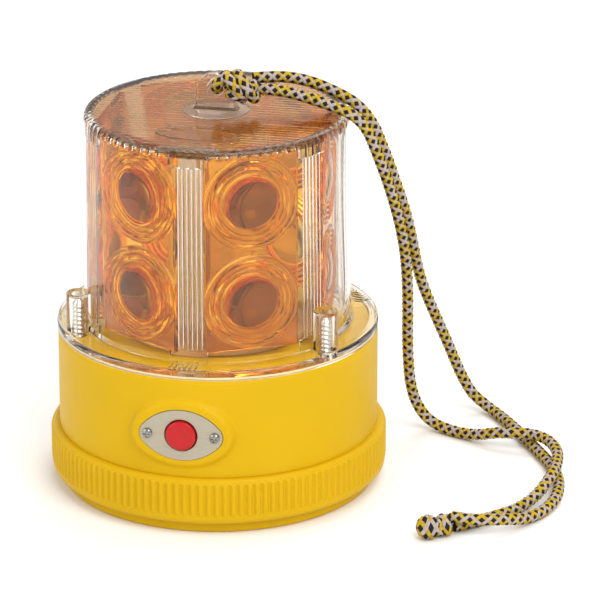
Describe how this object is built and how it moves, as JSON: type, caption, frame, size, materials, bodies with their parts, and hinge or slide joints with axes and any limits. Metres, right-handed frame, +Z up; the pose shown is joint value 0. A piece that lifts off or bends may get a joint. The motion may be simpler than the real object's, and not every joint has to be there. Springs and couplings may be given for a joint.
{
  "type": "portable amber warning beacon",
  "caption": "Battery-powered amber warning light: clear ribbed dome over stepped lens panels, yellow base with push button, screw-off battery cover and braided lanyard.",
  "frame": {"origin": "centre of the underside, on the plane that the base stands on", "axes": "+Z up along the lamp's axis, -Y towards the push button, +X to the button's right as it is faced, the side where the lanyard lies"},
  "size_m": [0.185, 0.1348, 0.1516],
  "materials": {
    "yellow_plastic": "moulded, slightly satin",
    "clear_plastic": "clear, polished polycarbonate",
    "amber_plastic": "transparent amber, polished",
    "bright_steel": "zinc plated",
    "satin_bezel": "satin",
    "red_plastic": "glossy",
    "black_plastic": "moulded",
    "seal_rubber": "moulded",
    "gasket_rubber": "soft, translucent",
    "magnet_ferrite": "pressed",
    "white_plastic": "moulded",
    "led_phosphor": "domed",
    "board_laminate": "lacquered",
    "battery_wrap": "plain wrap",
    "contact_brass": "sprung strip",
    "inductor_wrap": "wound",
    "wire_red": "insulated",
    "wire_black": "insulated",
    "braided_cord": "diamond braid in black, yellow and white"
  },
  "bodies": {
    "lamp": {"housing": "yellow_plastic", "switch_bezel": "satin_bezel", "bezel_screw_left": "bright_steel", "bezel_screw_right": "bright_steel", "switch_body": "black_plastic", "battery_tray": "black_plastic", "battery_front": "battery_wrap", "battery_rear": "battery_wrap", "contact_plate_front": "contact_brass", "contact_plate_rear": "contact_brass", "contact_spring_front": "bright_steel", "contact_spring_rear": "bright_steel", "main_board": "board_laminate", "board_inductor": "inductor_wrap", "board_capacitor": "black_plastic", "board_chip": "black_plastic", "battery_lead_red": "wire_red", "battery_lead_black": "wire_black", "led_tower": "white_plastic", "led_board_1": "white_plastic", "led_board_2": "white_plastic", "led_board_3": "white_plastic", "led_board_4": "white_plastic", "led_board_5": "white_plastic", "led_board_6": "white_plastic", "led_lower_1": "led_phosphor", "led_upper_1": "led_phosphor", "led_lower_2": "led_phosphor", "led_upper_2": "led_phosphor", "led_lower_3": "led_phosphor", "led_upper_3": "led_phosphor", "led_lower_4": "led_phosphor", "led_upper_4": "led_phosphor", "led_lower_5": "led_phosphor", "led_upper_5": "led_phosphor", "led_lower_6": "led_phosphor", "led_upper_6": "led_phosphor", "lens_panel_1": "amber_plastic", "lens_panel_2": "amber_plastic", "lens_panel_3": "amber_plastic", "lens_panel_4": "amber_plastic", "lens_panel_5": "amber_plastic", "lens_panel_6": "amber_plastic", "lens_dome": "clear_plastic", "dome_gasket": "gasket_rubber", "dome_screw_1": "bright_steel", "dome_screw_2": "bright_steel", "dome_screw_3": "bright_steel", "lanyard_tab_knot": "braided_cord", "lanyard_strand_a": "braided_cord", "lanyard_strand_b": "braided_cord", "lanyard_end_knot": "braided_cord"},
    "cover_carrier": {"cover_seal": "seal_rubber"},
    "cover": {"battery_cover": "yellow_plastic", "magnet_cup": "bright_steel", "magnet_ring": "magnet_ferrite", "magnet_screw": "bright_steel", "magnet_nut": "bright_steel"},
    "button": {"switch_button": "red_plastic"}
  },
  "joints": [
    {"name": "button_press", "type": "slide", "parent": "lamp", "child": "button", "axis": [0, 1, 0], "range_m": [0, 0.0015], "stiffness_N_per_m": 1200, "springref_m": -0.0005},
    {"name": "cover_drop", "type": "slide", "parent": "lamp", "child": "cover_carrier", "axis": [0, 0, 1], "range_m": [-0.0045, 0]},
    {"name": "cover_turn", "type": "hinge", "parent": "cover_carrier", "child": "cover", "pos_m": [0, 0, 0], "axis": [0, 0, 1], "range_deg": [-540, 0]}
  ],
  "couplings": [
    {"joint": "cover_drop", "follows": "cover_turn", "m_per_rad": 0.00047746}
  ]
}
